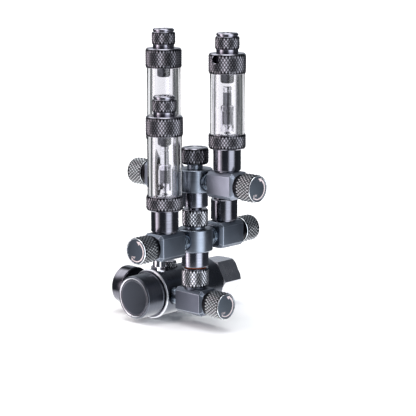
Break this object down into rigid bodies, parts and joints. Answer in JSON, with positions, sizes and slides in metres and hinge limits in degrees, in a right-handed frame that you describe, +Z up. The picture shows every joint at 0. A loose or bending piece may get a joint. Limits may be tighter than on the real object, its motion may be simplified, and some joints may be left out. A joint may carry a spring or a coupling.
{
  "type": "carbon dioxide regulator splitter",
  "caption": "Carbon dioxide pressure regulator with stacked splitter manifolds, needle valve arms with knurled knobs, and clear bubble counters with tube nuts.",
  "frame": {"origin": "centre of the inlet nut's mouth", "axes": "+X out of the inlet nut along the barrel's axis, +Z up along the column of manifolds"},
  "size_m": [0.1236, 0.1234, 0.1976],
  "materials": {
    "body_anodised": "satin, dark blue-grey anodised, turned",
    "block_anodised": "satin, blue-grey anodised, milled",
    "manifold_anodised": "polished, dark anodised, turned",
    "knurled_anodised": "diamond knurled, grey anodised",
    "knob_anodised": "diamond knurled, dark slate face",
    "black_fitting": "polished black, turned",
    "cover_anodised": "satin disc, slate, bare",
    "nickel": "polished nickel plate",
    "steel": "turned stainless steel",
    "tower_metal": "dark turned metal",
    "spring_steel": "drawn wire",
    "brass": "turned brass",
    "sintered_bronze": "sintered, matt",
    "acrylic": "clear, polished",
    "lens": "clear, polished",
    "rubber": "moulded, matt",
    "nylon": "turned, off-white",
    "washer_copper": "orange fibre",
    "black_anodised": "black anodised, turned",
    "dial_paint": "white enamel with printed scale",
    "pointer_paint": "black enamel"
  },
  "bodies": {
    "regulator": {"regulator_body": "body_anodised", "bonnet": "body_anodised", "bonnet_cover": "cover_anodised", "diaphragm": "rubber", "valve_seat": "brass", "inlet_nipple": "nickel", "inlet_filter": "sintered_bronze", "inlet_washer": "nylon", "gauge_case": "black_fitting", "gauge_dial": "dial_paint", "gauge_lens": "lens", "relief_valve": "nickel", "port_plug": "knurled_anodised", "outlet_block": "block_anodised", "outlet_gland_nut": "black_anodised", "range_spring": "spring_steel", "poppet_spring": "spring_steel"},
    "spring_seat": {"spring_button": "steel"},
    "adjuster": {"adjusting_screw": "steel"},
    "poppet": {"poppet": "steel", "diaphragm_plate": "steel"},
    "gauge_pointer": {"gauge_pointer": "pointer_paint"},
    "inlet_nut": {"inlet_nut": "nickel"},
    "outlet_stem": {"outlet_needle": "steel"},
    "outlet_knob": {"outlet_knob": "knob_anodised"},
    "lower_nut": {"lower_swivel_nut": "knurled_anodised"},
    "lower_module": {"lower_manifold": "manifold_anodised", "swivel_washer": "washer_copper", "lower_needle_blocks": "block_anodised", "lower_gland_nuts": "black_anodised", "lower_adaptors": "black_fitting", "lower_base_collars": "knurled_anodised", "lower_tubes": "acrylic", "lower_top_collars": "knurled_anodised", "lower_risers": "tower_metal", "lower_skirts": "acrylic", "check_valve_d": "black_fitting"},
    "upper_nut": {"upper_swivel_nut": "knurled_anodised"},
    "upper_module": {"upper_manifold": "manifold_anodised", "upper_needle_blocks": "block_anodised", "upper_gland_nuts": "black_anodised", "upper_adaptors": "black_fitting", "upper_base_collars": "knurled_anodised", "upper_tubes": "acrylic", "upper_top_collars": "knurled_anodised", "upper_risers": "tower_metal", "upper_skirts": "acrylic"},
    "column_cap": {"column_cap": "knurled_anodised"},
    "stem_a": {"needle_a": "steel"},
    "knob_a": {"knob_a": "knob_anodised"},
    "tube_nut_a": {"tube_nut_a": "knurled_anodised"},
    "stem_b": {"needle_b": "steel"},
    "knob_b": {"knob_b": "knob_anodised"},
    "tube_nut_b": {"tube_nut_b": "knurled_anodised"},
    "stem_c": {"needle_c": "steel"},
    "knob_c": {"knob_c": "knob_anodised"},
    "tube_nut_c": {"tube_nut_c": "knurled_anodised"},
    "stem_d": {"needle_d": "steel"},
    "knob_d": {"knob_d": "knob_anodised"},
    "tube_nut_d": {"tube_nut_d": "knurled_anodised"}
  },
  "joints": [
    {"name": "spring_seat_slide", "type": "slide", "parent": "regulator", "child": "spring_seat", "axis": [1, 0, 0], "range_m": [0, 0.00251], "deforming": ["range_spring"]},
    {"name": "adjusting_screw_turn", "type": "hinge", "parent": "spring_seat", "child": "adjuster", "pos_m": [-0.085, 0, 0], "axis": [1, 0, 0], "range_deg": [0, 900]},
    {"name": "poppet_slide", "type": "slide", "parent": "regulator", "child": "poppet", "axis": [1, 0, 0], "range_m": [0, 0.0005], "stiffness_N_per_m": 1500, "deforming": ["poppet_spring", "diaphragm"]},
    {"name": "gauge_pointer_turn", "type": "hinge", "parent": "regulator", "child": "gauge_pointer", "pos_m": [-0.068, 0.031, 0], "axis": [0, -1, 0], "range_deg": [0, 270], "stiffness_Nm_per_rad": 0.00002},
    {"name": "inlet_nut_turn", "type": "hinge", "parent": "regulator", "child": "inlet_nut", "pos_m": [-0.009, 0, 0], "axis": [1, 0, 0], "continuous": true},
    {"name": "outlet_stem_slide", "type": "slide", "parent": "regulator", "child": "outlet_stem", "axis": [0, -1, 0], "range_m": [0, 0.00151]},
    {"name": "outlet_knob_turn", "type": "hinge", "parent": "outlet_stem", "child": "outlet_knob", "pos_m": [-0.068, -0.056, 0], "axis": [0, -1, 0], "range_deg": [0, 1080]},
    {"name": "lower_nut_turn", "type": "hinge", "parent": "regulator", "child": "lower_nut", "pos_m": [-0.068, -0.034, 0.016], "axis": [0, 0, 1], "continuous": true},
    {"name": "lower_module_turn", "type": "hinge", "parent": "regulator", "child": "lower_module", "pos_m": [-0.068, -0.034, 0.0418], "axis": [0, 0, 1], "continuous": true},
    {"name": "upper_nut_turn", "type": "hinge", "parent": "lower_module", "child": "upper_nut", "pos_m": [-0.068, -0.034, 0.057], "axis": [0, 0, 1], "continuous": true},
    {"name": "upper_module_turn", "type": "hinge", "parent": "lower_module", "child": "upper_module", "pos_m": [-0.068, -0.034, 0.0821], "axis": [0, 0, 1], "range_deg": [-38, 38]},
    {"name": "column_cap_turn", "type": "hinge", "parent": "upper_module", "child": "column_cap", "pos_m": [-0.068, -0.034, 0.098], "axis": [0, 0, 1], "continuous": true},
    {"name": "stem_a_slide", "type": "slide", "parent": "upper_module", "child": "stem_a", "axis": [0, 1, 0], "range_m": [0, 0.00151]},
    {"name": "knob_a_turn", "type": "hinge", "parent": "stem_a", "child": "knob_a", "pos_m": [-0.068, 0.01475, 0.0821], "axis": [0, 1, 0], "range_deg": [0, 1080]},
    {"name": "tube_nut_a_turn", "type": "hinge", "parent": "upper_module", "child": "tube_nut_a", "pos_m": [-0.068, -0.00525, 0.17925], "axis": [0, 0, 1], "continuous": true},
    {"name": "stem_b_slide", "type": "slide", "parent": "lower_module", "child": "stem_b", "axis": [-1, 0, 0], "range_m": [0, 0.00151]},
    {"name": "knob_b_turn", "type": "hinge", "parent": "stem_b", "child": "knob_b", "pos_m": [-0.11675, -0.034, 0.0418], "axis": [-1, 0, 0], "range_deg": [0, 1080]},
    {"name": "tube_nut_b_turn", "type": "hinge", "parent": "lower_module", "child": "tube_nut_b", "pos_m": [-0.09675, -0.034, 0.13895], "axis": [0, 0, 1], "continuous": true},
    {"name": "stem_c_slide", "type": "slide", "parent": "upper_module", "child": "stem_c", "axis": [0, -1, 0], "range_m": [0, 0.00151]},
    {"name": "knob_c_turn", "type": "hinge", "parent": "stem_c", "child": "knob_c", "pos_m": [-0.068, -0.08275, 0.0821], "axis": [0, -1, 0], "range_deg": [0, 1080]},
    {"name": "tube_nut_c_turn", "type": "hinge", "parent": "upper_module", "child": "tube_nut_c", "pos_m": [-0.068, -0.06275, 0.17925], "axis": [0, 0, 1], "continuous": true},
    {"name": "stem_d_slide", "type": "slide", "parent": "lower_module", "child": "stem_d", "axis": [1, 0, 0], "range_m": [0, 0.00151]},
    {"name": "knob_d_turn", "type": "hinge", "parent": "stem_d", "child": "knob_d", "pos_m": [-0.01925, -0.034, 0.0418], "axis": [1, 0, 0], "range_deg": [0, 1080]},
    {"name": "tube_nut_d_turn", "type": "hinge", "parent": "lower_module", "child": "tube_nut_d", "pos_m": [-0.03925, -0.034, 0.0771], "axis": [0, 0, 1], "continuous": true}
  ],
  "couplings": [
    {"joint": "spring_seat_slide", "follows": "adjusting_screw_turn", "m_per_rad": 0.00015915},
    {"joint": "outlet_stem_slide", "follows": "outlet_knob_turn", "m_per_rad": 0.000079577},
    {"joint": "stem_a_slide", "follows": "knob_a_turn", "m_per_rad": 0.000079577},
    {"joint": "stem_b_slide", "follows": "knob_b_turn", "m_per_rad": 0.000079577},
    {"joint": "stem_c_slide", "follows": "knob_c_turn", "m_per_rad": 0.000079577},
    {"joint": "stem_d_slide", "follows": "knob_d_turn", "m_per_rad": 0.000079577}
  ]
}
